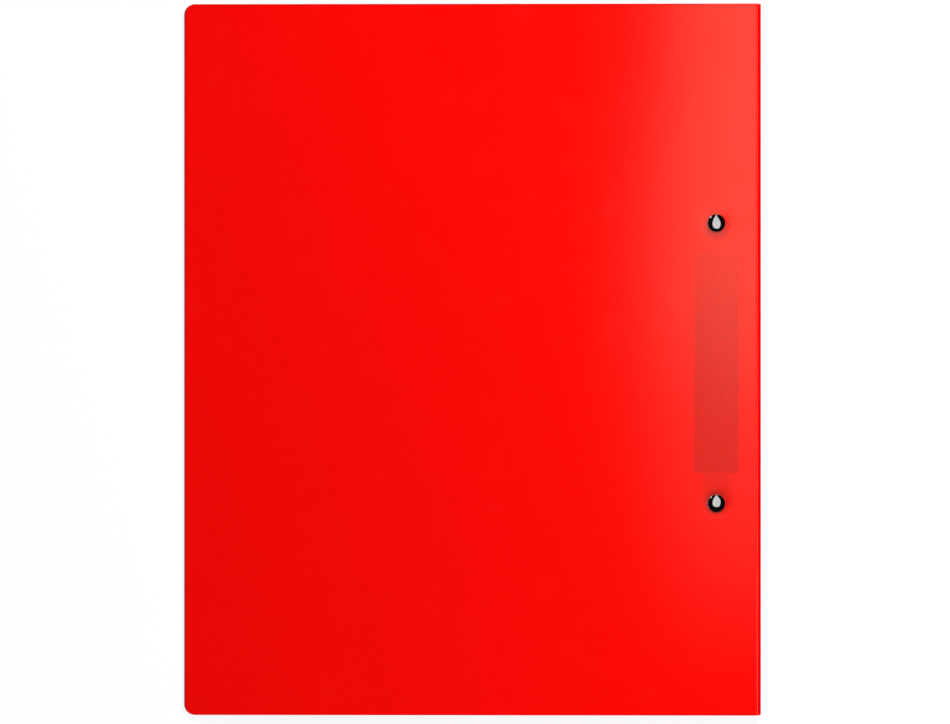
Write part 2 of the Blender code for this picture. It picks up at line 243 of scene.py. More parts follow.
# The rollers leave a fine sand grain on the sheet, deeper on the inside, and the pigment
# is a little cloudy.
sheet_grain, asked = new_group("sheet_grain", {"Rub": 1.0, "Matt": 0.13}, ("Tone", "Height", "Gloss"))
here = add_node(sheet_grain, "ShaderNodeTexCoord").outputs["Object"]
sand = noise(sheet_grain, here, scale=1500.0)
mottle = noise(sheet_grain, here, scale=300.0, detail=3.0, roughness=0.6)
cloud = noise(sheet_grain, here, scale=14.0)
rubbed = noise(sheet_grain, here, scale=55.0, detail=4.0, roughness=0.65)
rubbed = spread(sheet_grain, rubbed, low=0.52, high=0.72)
rubbed = math_node(sheet_grain, "MULTIPLY", rubbed, asked["Rub"])
tone = weighed(sheet_grain, sand, 0.4, mottle, 0.4)
tone = math_node(sheet_grain, "MULTIPLY_ADD", cloud, 0.2, tone, clamp=True)
height = weighed(sheet_grain, sand, 0.7, mottle, 0.5)
gloss = math_node(sheet_grain, "MULTIPLY_ADD", mottle, 0.08, asked["Matt"])
gloss = math_node(sheet_grain, "MULTIPLY_ADD", rubbed, 0.04, gloss)
add_node(sheet_grain, "NodeGroupOutput", {"Tone": tone, "Height": height, "Gloss": gloss})

deep_red = (0.88, 0.0005, 0.0003, 1.0)
bright_red = (1.00, 0.0010, 0.0005, 1.0)
inside_deep_red = (0.72, 0.0005, 0.0003, 1.0)
inside_bright_red = (0.97, 0.0010, 0.0005, 1.0)
# The sheared edges are painted a darker red: painted shade for the dark line along the covers' edges.
edge_shade_deep_red = (0.40, 0.0006, 0.0006, 1.0)
edge_shade_bright_red = (0.56, 0.001, 0.001, 1.0)
outer_grain = {"rub": 1.0, "matt": 0.13, "depth": 0.045 * mm}
grain_strength = 0.6
sheen_level = 0.85
sheen_tint = (1.0, 1.0, 0.72, 1.0)


def sheet_finish(name, darker, lighter, rub, matt, depth, shade=None):
    """Embossed polypropylene between two reds; the grain shades its own sheen at a glancing look."""
    finish, tree, shader = new_finish(name)
    grain = add_node(tree, "ShaderNodeGroup", {"Rub": rub, "Matt": matt}, node_tree=sheet_grain).outputs
    colour = blend_colour(tree, grain["Tone"], darker, lighter)
    glance = add_node(tree, "ShaderNodeLayerWeight", {"Blend": 0.5}).outputs["Facing"]
    sheen = spread(tree, glance, low=0.45, high=0.9, to_low=sheen_level, to_high=0.0)
    relief = {"Strength": grain_strength, "Distance": depth, "Height": grain["Height"]}
    fill(shader, {
        "Base Color": shade(tree, colour) if shade else colour,
        "Roughness": grain["Gloss"],
        "Specular IOR Level": sheen,
        "Specular Tint": sheen_tint,
        "Normal": add_node(tree, "ShaderNodeBump", relief).outputs[0],
    })
    return finish


red_sheet = sheet_finish("red_sheet", deep_red, bright_red, **outer_grain)
red_inside = sheet_finish(
    "red_inside", inside_deep_red, inside_bright_red, rub=0.7, matt=0.34, depth=0.14 * mm
)
shaded_cut_edge = sheet_finish("shaded_cut_edge", edge_shade_deep_red, edge_shade_bright_red, rub=0.0, matt=0.22, depth=0.03 * mm)
sheet_finishes = [red_sheet, shaded_cut_edge, red_inside]

front_blank = die_cut(crease_reach, front_width, corner_radius, -1)
thicken(front_blank, -1, [(crease_reach, 1)])
front_panel = finish_piece(
    "front_panel", front_blank, panel_place(front_axis, along_front), sheet_finishes
)
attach(front_panel, "front")
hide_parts("front_cover")

# Spine: the narrow middle panel of the same polypropylene sheet, standing between the creases.
# It is cut in one with the two covers, and stays flat and bare.
spine_width = (back_axis - front_axis).length
spine_ends = (crease_reach, spine_width - crease_reach)
spine_blank = die_cut(*spine_ends, 0.0, 1)
thicken(spine_blank, 1, [(spine_ends[0], 1), (spine_ends[1], -1)])
spine_strip = finish_piece(
    "spine_strip", spine_blank, panel_place(front_axis, up_spine), sheet_finishes
)
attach(spine_strip, "spine")
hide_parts("spine_panel")

# Creases: the sheet is pressed thin along two lines, and bends there as a living hinge.
# The outside turns in a small round, and the groove that the tool left is inside.
crease_gauge = 0.42 * mm
fold_steps = 24
groove_share = 0.75  # how much of the fold, from its middle, is pressed to that gauge
inner_facing = 0.2  # a face of the fold that looks in by more than this is inside
# The folds are a slightly darker red: painted shade on the round that turns away from the light.
fold_shade_deep_red = (0.80, 0.0005, 0.0003, 1.0)
fold_shade_bright_red = (0.94, 0.0010, 0.0005, 1.0)
fold_shade_red = sheet_finish(
    "fold_shade_red", fold_shade_deep_red, fold_shade_bright_red, rub=0.0, matt=0.38, depth=0.03 * mm
)
fold_finishes = [fold_shade_red, shaded_cut_edge, red_inside]


def clamped(share):
    """A share held between 0 and 1."""
    return min(max(share, 0.0), 1.0)


def eased_share(share):
    """A share that starts and ends softly."""
    share = clamped(share)
    return share * share * (3 - 2 * share)


def pressed_fold(name, axis, toward_a, toward_b):
    """The fold between two panels, and the points where one and the other take over."""
    inward = (toward_a + toward_b).normalized()
    across = (toward_b - toward_a).normalized()
    radius = sheet_gauge / 2 + crease_reach * math.tan(half_fold)
    centre = Vector((axis.x, 0.0, axis.z)) + inward * (crease_reach / math.cos(half_fold))
    swing_end = math.pi / 2 - half_fold
    fold = bmesh.new()
    bmesh.ops.create_grid(fold, x_segments=fold_steps, y_segments=1, size=1.0)
    for vert in fold.verts:
        swing = vert.co.x * swing_end
        turned = across * math.sin(swing) - inward * math.cos(swing)
        vert.co = centre + turned * radius + upward * vert.co.y * half_height
    grown = bmesh.ops.extrude_face_region(fold, geom=fold.faces[:])
    for vert in [v for v in grown["geom"] if isinstance(v, bmesh.types.BMVert)]:
        swing = math.asin(max(-1.0, min(1.0, (vert.co - centre).dot(across) / radius)))
        share = eased_share((abs(swing) / swing_end - groove_share) / (1.0 - groove_share))
        gauge = crease_gauge + (sheet_gauge - crease_gauge) * share
        vert.co += inward * gauge / math.cos(swing)
    bmesh.ops.recalc_face_normals(fold, faces=fold.faces[:])
    for face in fold.faces:
        if abs(face.normal.dot(upward)) > flat_facing:
            face.material_index = sheared_edge
        elif face.normal.dot(inward) > inner_facing:
            face.material_index = inner_face
        else:
            face.material_index = outer_face
    made = finish_piece(name, fold, Matrix.Identity(4), fold_finishes)
    reach = radius * math.sin(swing_end)
    return made, centre - across * reach, centre + across * reach


front_fold, fold_start, fold_end = pressed_fold("front_fold", front_axis, along_front, up_spine)
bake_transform(front_fold)
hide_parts("front_crease_web")
back_fold, fold_start, fold_end = pressed_fold("back_fold", back_axis, -up_spine, along_back)
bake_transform(back_fold)
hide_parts("back_crease_web")

# Back cover: the panel that carries the ring mechanism, half a millimetre shorter.
# The rivets pull the sheet in round their heads, and the plate under the thin sheet
# shows as a soft dark strip of painted shade.
back_width = 258.8 * mm
mechanism_inset = 18.2 * mm
mechanism_drop = 1.7 * mm
rivet_reach = 63.0 * mm
rivet_hole = 2.1 * mm
hole_patch = 3.2 * mm  # half the square of sheet that a rivet hole is cut in
dimple_depth = 0.16 * mm
dimple_flat = 3.6 * mm
dimple_radius = 11.0 * mm
dimple_fall = 2.2  # the power by which the dimple fades outwards
pucker = 0.45  # how much deeper the sheet is pulled in on one side of a rivet
pucker_turn = 0.8  # where that side is, in radians
fine_cuts = [step * mm for step in range(-12, 13)]
coarse_step = 20.0 * mm
back_place = panel_place(back_axis, along_back)
mechanism_place = back_place @ Matrix.Translation((mechanism_inset, -mechanism_drop, sheet_gauge / 2))
mechanism_middle = mechanism_place.translation
rivet_spots = [(mechanism_inset, side * rivet_reach - mechanism_drop) for side in (1, -1)]


def within(element, spot, reach):
    """Whether a face or an edge lies in the square round a spot."""
    return all(abs(v.co.x - spot[0]) < reach and abs(v.co.y - spot[1]) < reach for v in element.verts)


def loop_edges(verts):
    """The edges round a loop of points, each once."""
    return list(dict.fromkeys(edge for vert in verts for edge in vert.link_edges))


columns = [mechanism_inset + cut for cut in fine_cuts]
columns += [step * coarse_step for step in range(2, 13)]
rows = [spot[1] + cut for spot in rivet_spots for cut in fine_cuts]
rows += [step * coarse_step for step in (-7, -6, -5, -2, -1, 0, 1, 2, 5, 6, 7)]
back_blank = die_cut(crease_reach, back_width, corner_radius, 1, columns, rows)
for spot in rivet_spots:
    patch = [face for face in back_blank.faces if within(face, spot, hole_patch)]
    bmesh.ops.delete(back_blank, geom=patch, context="FACES")
    square = [edge for edge in back_blank.edges if edge.is_boundary and within(edge, spot, hole_patch)]
    corner_on = Matrix.Translation((*spot, -sheet_gauge / 2)) @ Matrix.Rotation(math.pi / 4, 4, "Z")
    hole = bmesh.ops.create_circle(
        back_blank, segments=len(square), radius=rivet_hole, matrix=corner_on,
    )
    bmesh.ops.bridge_loops(back_blank, edges=square + loop_edges(hole["verts"]))
thicken(back_blank, 1, [(crease_reach, 1)], rivet_spots)
for vert in back_blank.verts:
    if vert.co.z < 0.0:
        for spot in rivet_spots:
            arm = vert.co.xy - Vector(spot)
            share = clamped((dimple_radius - arm.length) / (dimple_radius - dimple_flat))
            uneven = 1.0 + pucker * math.cos(math.atan2(arm.y, -arm.x) - pucker_turn)
            vert.co.z += dimple_depth * share**dimple_fall * uneven

# Painted shade: the plate shows through as a dark strip painted into the colour, paler towards the top
# where the sheet stands off it, fainter at its tongues, and a painted contact shadow is darkest round
# the rivet heads.
strip_half = 49.5 * mm
strip_side = 10.1 * mm
strip_blur = (-0.5 * mm, 0.7 * mm)
strip_stand_off = (10.0 * mm, 52.0 * mm)
strip_top_share = 0.66
strip_darkness = 0.31
tongue_side = 6.2 * mm
tongue_blur = 1.5 * mm
tongue_fade = (60.0 * mm, 66.0 * mm)
tongue_share = 0.62
rivet_shade_reach = 61.0 * mm
rivet_shade_blur = (1.5 * mm, 10.0 * mm)
rivet_shade_share = 1.4
plate_shade_colour = (0.05, 0.008, 0.006, 1.0)


def measured(tree, where, direction, origin):
    """How far a point lies from origin along a direction."""
    made = add_node(tree, "ShaderNodeVectorMath", {0: where, 1: direction}, operation="DOT_PRODUCT")
    return math_node(tree, "SUBTRACT", made.outputs["Value"], origin.dot(direction))


def paint_plate_shade(tree, red):
    """The red of the sheet, with painted shade over the plate under it and round the rivets."""
    here = add_node(tree, "ShaderNodeTexCoord").outputs["Object"]
    sideways = math_node(tree, "ABSOLUTE", measured(tree, here, along_back, mechanism_middle))
    upwards = measured(tree, here, upward, mechanism_middle)
    lengthways = math_node(tree, "ABSOLUTE", upwards)
    to_side = math_node(tree, "SUBTRACT", strip_side, sideways)
    to_end = math_node(tree, "SUBTRACT", strip_half, lengthways)
    strip = spread(tree, math_node(tree, "MINIMUM", to_side, to_end), *strip_blur)
    tongue = math_node(tree, "SUBTRACT", tongue_side, sideways)
    tongue = spread(tree, tongue, -tongue_blur, tongue_blur, to_high=tongue_share)
    fading = spread(tree, lengthways, *tongue_fade, to_low=1.0, to_high=0.0)
    tongue = math_node(tree, "MULTIPLY", tongue, fading)
    shadow = math_node(tree, "MAXIMUM", strip, tongue)
    speckle = noise(tree, here, scale=1100.0, detail=3.0, roughness=0.6)
    speckle = spread(tree, speckle, low=0.3, high=0.7, to_low=0.7, to_high=1.25)
    shadow = math_node(tree, "MULTIPLY", shadow, speckle)
    paler = spread(tree, upwards, *strip_stand_off, to_low=1.0, to_high=strip_top_share)
    shadow = math_node(tree, "MULTIPLY", shadow, paler)
    # Painted contact shadow round each rivet head, darker than the strip.
    to_rivet_shade = math_node(tree, "SUBTRACT", lengthways, rivet_shade_reach)
    rivet_shade = math_node(tree, "MULTIPLY", to_rivet_shade, to_rivet_shade)
    rivet_shade = math_node(tree, "MULTIPLY_ADD", sideways, sideways, rivet_shade)
    rivet_shade = math_node(tree, "SQRT", rivet_shade)
    rivet_shade = spread(tree, rivet_shade, *rivet_shade_blur, to_low=rivet_shade_share, to_high=0.0)
    shadow = math_node(tree, "MAXIMUM", shadow, rivet_shade)
    return blend_colour(tree, math_node(tree, "MULTIPLY", shadow, strip_darkness), red, plate_shade_colour)


back_finish = sheet_finish("red_sheet_back", deep_red, bright_red, **outer_grain, shade=paint_plate_shade)
back_panel = finish_piece("back_panel", back_blank, back_place, [back_finish, shaded_cut_edge, red_inside])
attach(back_panel, "back")
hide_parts("back_cover")

# Cover plate: a nickel-plated steel strip pressed to an arch, notched where the rings come
# through. Its ends flatten into tongues with a dished seat for a rivet.
plate_gauge = 0.6 * mm
plate_ease = 0.12 * mm
plate_side = 10.0 * mm
mid_side = plate_side - plate_gauge / 2
plate_crown = 4.9 * mm
plate_rest = 0.15 * mm
plate_squareness = 2.6  # of the arch; an ellipse has 2
neck_length = 8.5 * mm
tongue_height = 2.3 * mm
tongue_radius = 5.5 * mm
ring_reach = 40.0 * mm
notch_half = 1.75 * mm
plate_columns = 32
notch_columns = 12
taper_start = 50.1 * mm
taper = (plate_side - tongue_radius) / (rivet_reach - taper_start)
half_rows = [step * mm for step in (0.0, 12.0, 24.0, 36.0)]
half_rows += [ring_reach - notch_half, ring_reach + notch_half]
half_rows += [step * mm for step in (44.0, 47.0, 49.0)]
half_rows += [strip_half + step * mm for step in (0.0, 0.9, 1.8, 2.7, 3.7, 4.7, 5.7, 6.7, 7.5)]
plate_rows = [-y for y in reversed(half_rows[1:])] + half_rows
plate_bays = len(plate_rows) - 1

plate = bmesh.new()
bmesh.ops.create_grid(plate, x_segments=plate_columns, y_segments=plate_bays, size=1.0)
notched = []
for face in plate.faces:
    spot = face.calc_center_median()
    column = int((1.0 - spot.x) / 2 * plate_columns)
    bay = int((spot.y + 1.0) / 2 * plate_bays)
    at_ring = abs(abs(plate_rows[bay] + plate_rows[bay + 1]) / 2 - ring_reach) < notch_half
    if at_ring and not notch_columns <= column < plate_columns - notch_columns:
        notched.append(face)
for vert in plate.verts:
    angle = math.pi * round((1.0 - vert.co.x) / 2 * plate_columns) / plate_columns
    y = plate_rows[round((vert.co.y + 1.0) / 2 * plate_bays)]
    across = math.copysign(abs(math.cos(angle)) ** (2 / plate_squareness), math.cos(angle))
    rise = abs(math.sin(angle)) ** (2 / plate_squareness)
    share = eased_share((abs(y) - strip_half) / neck_length)
    arch = plate_rest + (plate_crown - plate_rest) * rise
    width = mid_side - max(abs(y) - taper_start, 0.0) * taper
    vert.co = (across * width, y, arch + (tongue_height - arch) * share)
bmesh.ops.delete(plate, geom=notched, context="FACES")
neck_ends = {
    side: [e for e in plate.edges if all(abs(v.co.y - side * plate_rows[-1]) < hair for v in e.verts)]
    for side in (1, -1)
}


def turn(shape, profile, y, steps):
    """Turns an outline of radii and heights about the axis of the rivet at y."""
    chain = [shape.verts.new((radius, y, height)) for radius, height in profile]
    lines = [shape.edges.new(pair) for pair in zip(chain, chain[1:])]
    bmesh.ops.spin(
        shape, geom=chain + lines, cent=(0.0, y, 0.0), axis=(0.0, 0.0, 1.0),
        angle=2 * math.pi, steps=steps, use_merge=True,
    )


seat_height = 0.4 * mm
seat_floor = 2.7 * mm
seat_brow = 4.7 * mm
seat_bend = [(0.0, 0.0), (0.35 * mm, 0.08 * mm), (0.6 * mm, 0.35 * mm)]  # along and up, flat to wall
seat_profile = [(rivet_hole, seat_height)]
seat_profile += [(seat_floor + run, seat_height + lift) for run, lift in seat_bend]
seat_profile += [(seat_brow - run, tongue_height - lift) for run, lift in reversed(seat_bend)]
seat_profile += [(tongue_radius, tongue_height)]
for side in (1, -1):
    turn(plate, seat_profile, side * rivet_reach, 2 * plate_columns)
    hub = Vector((0.0, side * rivet_reach))
    facing = [
        edge for edge in plate.edges
        if all(abs((v.co.xy - hub).length - tongue_radius) < hair for v in edge.verts)
        and all(side * v.co.y < rivet_reach + hair for v in edge.verts)
    ]
    bmesh.ops.bridge_loops(plate, edges=neck_ends[side] + facing)
bmesh.ops.recalc_face_normals(plate, faces=plate.faces[:])

# The steel is streaked along the strip it was rolled in, or the wire it was drawn to, and the
# plating is a little stained.
metal_grain, asked = new_group("metal_grain", {"Streak": (1.0, 1.0, 1.0)}, ("Tone", "Stain", "Lines"))
here = add_node(metal_grain, "ShaderNodeTexCoord").outputs["Object"]
drawn = add_node(metal_grain, "ShaderNodeMapping", {"Vector": here, "Scale": asked["Streak"]})
lines = noise(metal_grain, drawn.outputs[0], scale=1.0, detail=3.0, roughness=0.6)
stain = noise(metal_grain, here, scale=160.0, detail=3.0, roughness=0.6)
tone = spread(metal_grain, weighed(metal_grain, lines, 0.5, stain, 0.5), low=0.3, high=0.7)
add_node(metal_grain, "NodeGroupOutput", {"Tone": tone, "Stain": stain, "Lines": lines})
streak_depth = 0.01 * mm


def metal_finish(name, dark, light, streak, polish, bump):
    """A plated metal between two tones, with polish as its least and most roughness."""
    finish, tree, shader = new_finish(name, metallic=1.0)
    grain = add_node(tree, "ShaderNodeGroup", {"Streak": streak}, node_tree=metal_grain).outputs
    relief = {"Strength": bump, "Distance": streak_depth, "Height": grain["Lines"]}
    fill(shader, {
        "Base Color": blend_colour(tree, grain["Tone"], dark, light),
        "Roughness": spread(tree, grain["Stain"], 0.3, 0.75, *polish),
        "Normal": add_node(tree, "ShaderNodeBump", relief).outputs[0],
    })
    return finish


nickel = metal_finish(
    "nickel_plate", (0.58, 0.56, 0.52, 1.0), (0.76, 0.74, 0.70, 1.0),
    streak=(2600.0, 40.0, 2600.0), polish=(0.19, 0.26), bump=0.35,
)
arch_plate = finish_piece("arch_plate", plate, mechanism_place, [nickel])
walls = arch_plate.modifiers.new("gauge", "SOLIDIFY")
walls.thickness = plate_gauge
walls.offset = 0.0
walls.use_even_offset = True
eased = arch_plate.modifiers.new("eased", "BEVEL")
eased.width = plate_ease
eased.segments = 2
eased.limit_method = "ANGLE"
eased.angle_limit = square_edge
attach(arch_plate, "back")
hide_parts("cover_plate")

# Blades: two zinc-plated steel strips that lie under the plate and snap past each other.
# They keep the shape of the frame, and only show through the notches and at the ends.
zinc = metal_finish(
    "blade_steel", (0.42, 0.42, 0.41, 1.0), (0.60, 0.60, 0.59, 1.0),
    streak=(1800.0, 60.0, 1800.0), polish=(0.30, 0.48), bump=0.4,
)
for blade in ("blade_fore", "blade_spine"):
    frame["nodes"][blade].data.materials[0] = zinc

# Ring halves: nickel-plated wire bent to half a ring, with a foot staked through a blade.
# One half ends in a small nib and the other in the socket that takes it.
wire_radius = 1.25 * mm
wire_sides = 32
ring_radius = 11.25 * mm
ring_steps = 72
tip_gap = 0.3 * mm
tip_swing = math.asin(tip_gap / 2 / ring_radius)
blade_half = 0.35 * mm
blade_reach = 8.3 * mm  # from a blade's pivot to its inner edge
blade_fall = 0.85 * mm  # how far that edge lies below the pivot
blade_tilt = math.asin(blade_fall / blade_reach)
blade_pivot = mechanism_place.inverted() @ joint_at["rings_open"]
along_blade = Vector((-math.cos(blade_tilt), 0.0, -math.sin(blade_tilt)))
down = Vector((math.sin(blade_tilt), 0.0, -math.cos(blade_tilt)))
foot_inset = 1.9 * mm  # from a blade's pivot to the foot of a ring
foot_bend = 1.8 * mm
foot_bend_steps = 20
foot_straight = 0.1 * mm
pin_clearance = 0.1 * mm
foot_rise = blade_half + pin_clearance + foot_straight
bend_middle = blade_pivot + along_blade * (foot_inset - foot_bend) - down * foot_rise
bend_reach = ring_radius + foot_bend
ring_height = bend_middle.z + math.sqrt(bend_reach**2 - bend_middle.x**2)
leave_angle = math.atan2(bend_middle.z - ring_height, bend_middle.x)  # where ring and bend meet
pin_radius = 0.75 * mm
pin_head = 1.15 * mm
pin_head_height = 0.4 * mm
foot_steps = [
    (foot_straight, 1.0),
    (0.0, pin_radius / wire_radius),
    (2 * blade_half + 2 * pin_clearance, 1.0),
    (0.0, pin_head / pin_radius),
    (0.6 * pin_head_height, 1.0),
    (0.4 * pin_head_height, 0.7),
]
tip_steps = [(0.05 * mm, 0.93), (0.0, 0.62)]
nib_steps = [(0.22 * mm, 0.9), (0.08 * mm, 0.6)]
socket_steps = [(-0.45 * mm, 0.85)]
bright_wire = metal_finish(
    "ring_wire", (0.70, 0.69, 0.67, 1.0), (0.84, 0.83, 0.81, 1.0),
    streak=(500.0, 500.0, 500.0), polish=(0.07, 0.16), bump=0.12,
)


def grow_end(shape, loop, out, steps):
    """Caps a wire's end, then pushes the cap along out and narrows it, step by step."""
    cap = bmesh.ops.contextual_create(shape, geom=loop)["faces"][0]
    for push, share in steps:
        grown = bmesh.ops.extrude_face_region(shape, geom=[cap])["geom"]
        bmesh.ops.delete(shape, geom=[cap], context="FACES_ONLY")
        cap = [f for f in grown if isinstance(f, bmesh.types.BMFace)][0]
        verts = cap.verts[:]
        bmesh.ops.translate(shape, verts=verts, vec=out * push)
        middle = Matrix.Translation(-cap.calc_center_median())
        bmesh.ops.scale(shape, verts=verts, vec=(share, share, share), space=middle)


def ring_half(name, y, side):
    """Half a ring: a bow from the tip, a bend over the blade, and a pin staked under it."""
    wire = bmesh.new()
    tip_middle = (math.sin(tip_swing) * ring_radius, y, ring_height + math.cos(tip_swing) * ring_radius)
    tip_facing = Matrix.Rotation(math.pi / 2 + tip_swing, 4, "Y")
    circle = bmesh.ops.create_circle(
        wire, segments=wire_sides, radius=wire_radius,
        matrix=Matrix.Translation(tip_middle) @ tip_facing,
    )
    tip_loop = loop_edges(circle["verts"])
    bowed = bmesh.ops.spin(
        wire, geom=circle["verts"] + tip_loop, cent=(0.0, y, ring_height), axis=upward,
        angle=math.pi / 2 - tip_swing - leave_angle, steps=ring_steps,
    )
    bent = bmesh.ops.spin(
        wire, geom=bowed["geom_last"], cent=(bend_middle.x, y, bend_middle.z), axis=upward,
        angle=leave_angle - blade_tilt, steps=foot_bend_steps,
    )
    foot_loop = [e for e in bent["geom_last"] if isinstance(e, bmesh.types.BMEdge)]
    grow_end(wire, foot_loop, down, foot_steps)
    out = Vector((-1.0, 0.0, math.tan(tip_swing)))
    grow_end(wire, tip_loop, out, tip_steps + (nib_steps if side > 0 else socket_steps))
    if side < 0:
        bmesh.ops.scale(wire, vec=(-1.0, 1.0, 1.0), verts=wire.verts[:])
    return finish_piece(name, wire, mechanism_place, [bright_wire], crisp=0.7)


for end, y in (("top", ring_reach), ("bottom", -ring_reach)):
    for side_name, side in (("fore", 1), ("spine", -1)):
        half = ring_half(f"wire_{end}_{side_name}", y, side)
        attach(half, f"rings_{side_name}")
        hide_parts(f"ring_{end}_{side_name}")

# Rivets: bright nickel-plated domes on the outside of the back cover. The hollow shank
# goes through the sheet and the plate's seat, and is flared over it.
head_radius = 4.1 * mm
head_face = -0.8 * mm
head_rim = 0.3 * mm
dome_rise = 1.7 * mm
dome_top = head_face - head_rim - dome_rise
shank_radius = 2.0 * mm
bore_radius = 1.45 * mm
bore_floor = -sheet_gauge
flare_radius = 2.7 * mm
flare_face = 0.8 * mm
flare_height = 0.5 * mm
rivet_steps = 96
cap_slope = math.radians(36.0)  # of the shallow cap, where the rolled edge begins
cap_edge = 3.90 * mm
cap_curve = cap_edge / math.sin(cap_slope)
cap_rise = cap_curve * (1.0 - math.cos(cap_slope))
cap_steps = 16
roll_curve = (head_radius - cap_edge) / (1.0 - math.sin(cap_slope))
roll_rise = roll_curve * math.cos(cap_slope)
roll_steps = 10
dome_foot = dome_top + cap_rise + roll_rise
chrome = metal_finish(
    "rivet_metal", (0.54, 0.54, 0.53, 1.0), (0.64, 0.64, 0.62, 1.0),
    streak=(900.0, 900.0, 900.0), polish=(0.03, 0.07), bump=0.05,
)
bore_line = [
    (0.0, bore_floor),
    (bore_radius * 0.9, bore_floor),
    (bore_radius, bore_floor + 0.15 * mm),
    (bore_radius, flare_face),
]
flare_line = [
    (bore_radius + 0.12 * mm, flare_face + flare_height * 0.75),
    (bore_radius + 0.45 * mm, flare_face + flare_height),
    (flare_radius - 0.25 * mm, flare_face + flare_height * 0.9),
    (flare_radius, flare_face + flare_height * 0.5),
    (flare_radius - 0.08 * mm, flare_face),
]
shank_line = [(shank_radius, flare_face - 0.02 * mm), (shank_radius, head_face)]
rim_line = [
    (head_radius - 0.35 * mm, head_face),
    (head_radius - 0.3 * mm, head_face + 0.2 * mm),
    (head_radius - 0.08 * mm, head_face + 0.18 * mm),
    (head_radius, head_face + 0.08 * mm),
]
dome_line = []
for step in range(roll_steps + 1):
    swing = math.pi / 2 + (cap_slope - math.pi / 2) * step / roll_steps
    drawn_in = roll_curve * (1.0 - math.sin(swing))
    dome_line.append((head_radius - drawn_in, dome_foot - roll_curve * math.cos(swing)))
for step in range(1, cap_steps + 1):
    swing = cap_slope * (1.0 - step / cap_steps)
    rise = cap_curve * (math.cos(swing) - math.cos(cap_slope))
    dome_line.append((cap_curve * math.sin(swing), dome_foot - roll_rise - rise))
rivet_profile = bore_line + flare_line + shank_line + rim_line + dome_line
heads = bpy.data.collections.new("rivet_heads")
for end, side in (("top", 1), ("bottom", -1)):
    rivet = bmesh.new()
    turn(rivet, rivet_profile, side * rivet_reach, rivet_steps)
    bmesh.ops.remove_doubles(rivet, verts=rivet.verts[:], dist=hair)
    head = finish_piece(f"dome_rivet_{end}", rivet, mechanism_place, [chrome], crisp=0.7)
    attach(head, "back")
    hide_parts(f"rivet_{end}")
    heads.objects.link(head)

# Floor: a plain white sweep that keeps a soft shadow round the binder and runs out to
# clean white further off.
floor_drop = 0.3 * mm
floor_radius = 60.0
floor_grey = (0.80, 0.80, 0.80, 1.0)
white = (1.0, 1.0, 1.0, 1.0)
shadow_reach = (0.25, 0.8)
floor_mesh = bpy.data.meshes.new("floor")
ground = bmesh.new()
bmesh.ops.create_circle(
    ground, cap_ends=True, segments=64, radius=floor_radius,
    matrix=Matrix.Translation((0.0, 0.0, -floor_drop)),
)
ground.to_mesh(floor_mesh)
ground.free()
floor = bpy.data.objects.new("floor", floor_mesh)
bpy.context.scene.collection.objects.link(floor)


def bare_finish(name):
    """A material with no shader yet."""
    made = bpy.data.materials.new(name)
    made.use_nodes = True
    made.node_tree.nodes.remove(made.node_tree.nodes["Principled BSDF"])
    return made, made.node_tree


def show(tree, shader):
    """Makes a shader the one that the surface has."""
    fill(tree.nodes["Material Output"], {"Surface": shader.outputs[0]})


floor_paint, tree = bare_finish("floor_paint")
matt = add_node(tree, "ShaderNodeBsdfDiffuse", {"Color": floor_grey})
glow = add_node(tree, "ShaderNodeEmission", {"Color": white, "Strength": 1.06})
rays = add_node(tree, "ShaderNodeLightPath").outputs
seen = math_node(tree, "ADD", rays["Is Camera Ray"], rays["Is Glossy Ray"])
seen = math_node(tree, "ADD", seen, rays["Is Transmission Ray"], clamp=True)
here = add_node(tree, "ShaderNodeTexCoord").outputs["Object"]
far_off = add_node(tree, "ShaderNodeVectorMath", {0: here}, operation="LENGTH").outputs["Value"]
seen = math_node(tree, "MULTIPLY", seen, spread(tree, far_off, *shadow_reach, to_low=0.80))
show(tree, add_node(tree, "ShaderNodeMixShader", {0: seen, 1: matt.outputs[0], 2: glow.outputs[0]}))
floor_mesh.materials.append(floor_paint)

# Light: a low even light with a key and two fills, and a softbox over the spine side for the
# sheen. A drop-shaped card and a small lamp show in the rivet heads alone, and metal sees a
# white horizon under a dark ceiling.
even_light = (0.15, 0.15, 0.15, 1.0)
ceiling_dark = (0.005, 0.005, 0.005, 1.0)
world = bpy.data.worlds.new("studio")
bpy.context.scene.world = world
world.use_nodes = True
tree = world.node_tree
direction = add_node(tree, "ShaderNodeTexCoord").outputs["Generated"]
rise = add_node(tree, "ShaderNodeSeparateXYZ", {0: direction}).outputs[2]
sky = blend_colour(tree, spread(tree, rise, low=0.03, high=0.12), white, ceiling_dark)
rays = add_node(tree, "ShaderNodeLightPath").outputs
mirrored = math_node(tree, "ADD", rays["Is Glossy Ray"], rays["Is Transmission Ray"], clamp=True)
sky = blend_colour(tree, mirrored, even_light, sky)
sky = blend_colour(tree, rays["Is Camera Ray"], sky, white)
fill(tree.nodes["Background"], {"Color": sky})
world.cycles.sampling_method = "NONE"


def lamp(name, place, aim, size, power):
    """A square area lamp turned to what it lights."""
    light = bpy.data.lights.new(name, "AREA")
    light.shape = "RECTANGLE"
    light.size = size
    light.size_y = size
    light.energy = power
    made = bpy.data.objects.new(name, light)
    made.location = place
    made.rotation_euler = (Vector(aim) - Vector(place)).to_track_quat("-Z", "Y").to_euler()
    bpy.context.scene.collection.objects.link(made)
    return made


soft_lamps = (
    ("key", (-1.5, 1.5, 0.95), 14.0),
    ("fill", (0.35, 0.5, 0.65), 6.6),
    ("front_fill", (0.35, -0.7, 0.55), 4.7),
)
for name, stand, power in soft_lamps:
    soft = lamp(name, stand, aim=(0.0, 0.0, 0.0), size=0.35, power=power)
    soft.visible_glossy = False
spark = lamp("spark", (-1.30, 1.33, 0.51), aim=(0.11, 0.0, 0.03), size=0.26, power=0.5)
spark.light_linking.receiver_collection = heads


